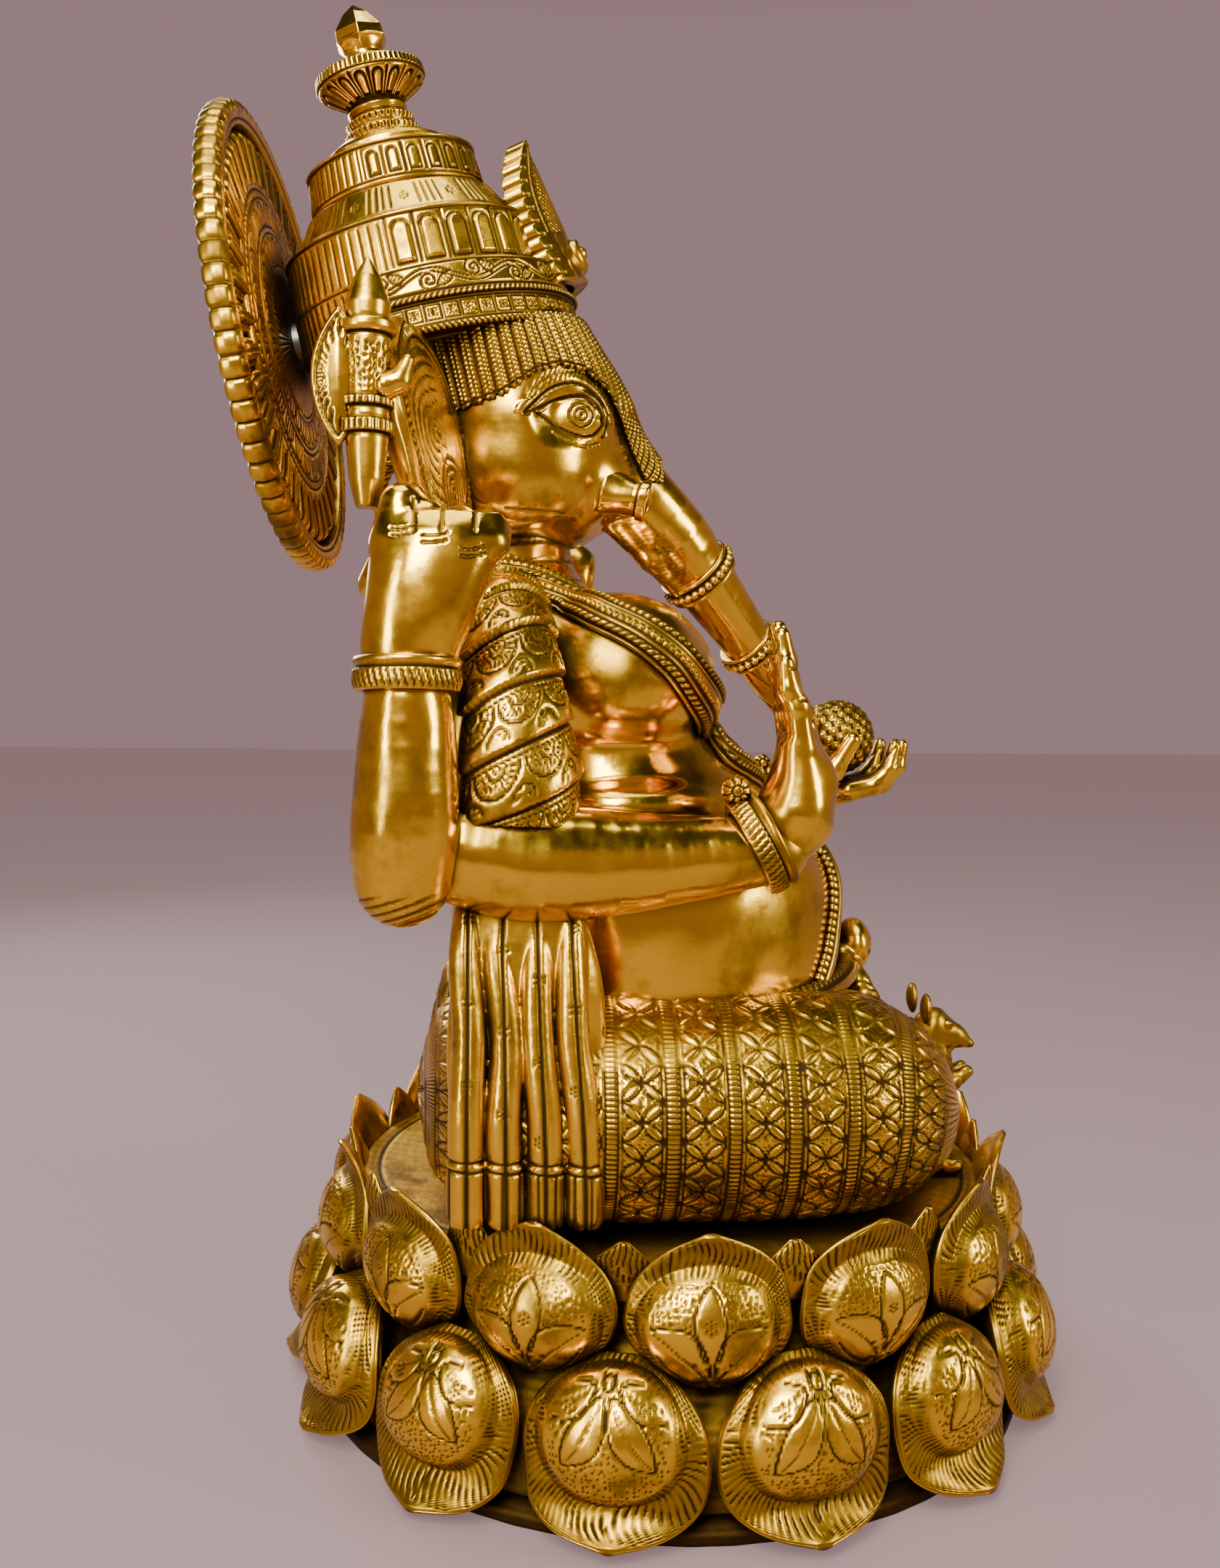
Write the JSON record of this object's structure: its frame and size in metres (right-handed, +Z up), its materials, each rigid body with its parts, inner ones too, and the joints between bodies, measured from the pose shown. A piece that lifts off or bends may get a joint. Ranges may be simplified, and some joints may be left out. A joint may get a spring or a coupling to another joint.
{
  "type": "ganesha idol",
  "caption": "Seated elephant-headed devotional idol in polished and chased brass, crowned, with a halo disc behind it, on a round lotus pedestal.",
  "frame": {"origin": "centre of the pedestal's foot, on the floor", "axes": "+Z up; the figure faces -Y and its right side is towards -X"},
  "size_m": [0.3508, 0.3801, 0.6099],
  "materials": {
    "polished_brass": "hand polished, warm yellow, brown patina left in the recesses",
    "chased_brass": "chased, stippled and hatched, highlights rubbed bright over a dark brown patina",
    "cast_brass": "as cast and filed, dull and darkened",
    "bolt_steel": "plain zinc-plated hardware"
  },
  "bodies": {
    "root": {"foot_ring": "cast_brass", "pedestal_wall": "cast_brass", "seat_plate": "cast_brass", "lower_petals": "chased_brass", "upper_petals": "chased_brass", "between_petals": "chased_brass", "seat_bolts": "bolt_steel", "torso": "polished_brass", "right_leg": "chased_brass", "left_leg": "chased_brass", "right_foot": "polished_brass", "left_foot": "polished_brass", "right_anklet": "chased_brass", "left_anklet": "chased_brass", "dhoti_pleats": "chased_brass", "waist_belt": "chased_brass", "right_sash": "chased_brass", "left_sash": "chased_brass", "right_sleeve": "chased_brass", "left_sleeve": "chased_brass", "necklace": "chased_brass", "garland": "chased_brass", "sacred_thread": "chased_brass", "right_front_forearm": "polished_brass", "left_front_forearm": "polished_brass", "right_front_hand": "polished_brass", "left_front_hand": "polished_brass", "right_rear_upper_arm": "polished_brass", "left_rear_upper_arm": "polished_brass", "right_rear_forearm": "polished_brass", "left_rear_forearm": "polished_brass", "right_rear_hand": "polished_brass", "left_rear_hand": "polished_brass", "bangles": "chased_brass", "sweetmeat_ball": "chased_brass", "axe_shaft": "chased_brass", "axe_blade": "polished_brass", "noose": "chased_brass", "head": "polished_brass", "right_ear": "chased_brass", "left_ear": "chased_brass", "trunk": "polished_brass", "trunk_rings": "chased_brass", "right_tusk": "polished_brass", "left_tusk": "polished_brass", "forehead_net": "chased_brass", "diadem": "chased_brass", "crown_lower_tier": "chased_brass", "crown_upper_tier": "chased_brass", "crown_finial": "polished_brass", "crown_plaque": "chased_brass", "halo_plate": "chased_brass", "halo_rim": "chased_brass", "halo_boss": "chased_brass", "halo_stud": "bolt_steel", "halo_nut": "bolt_steel", "mouse": "chased_brass"}
  },
  "joints": []
}
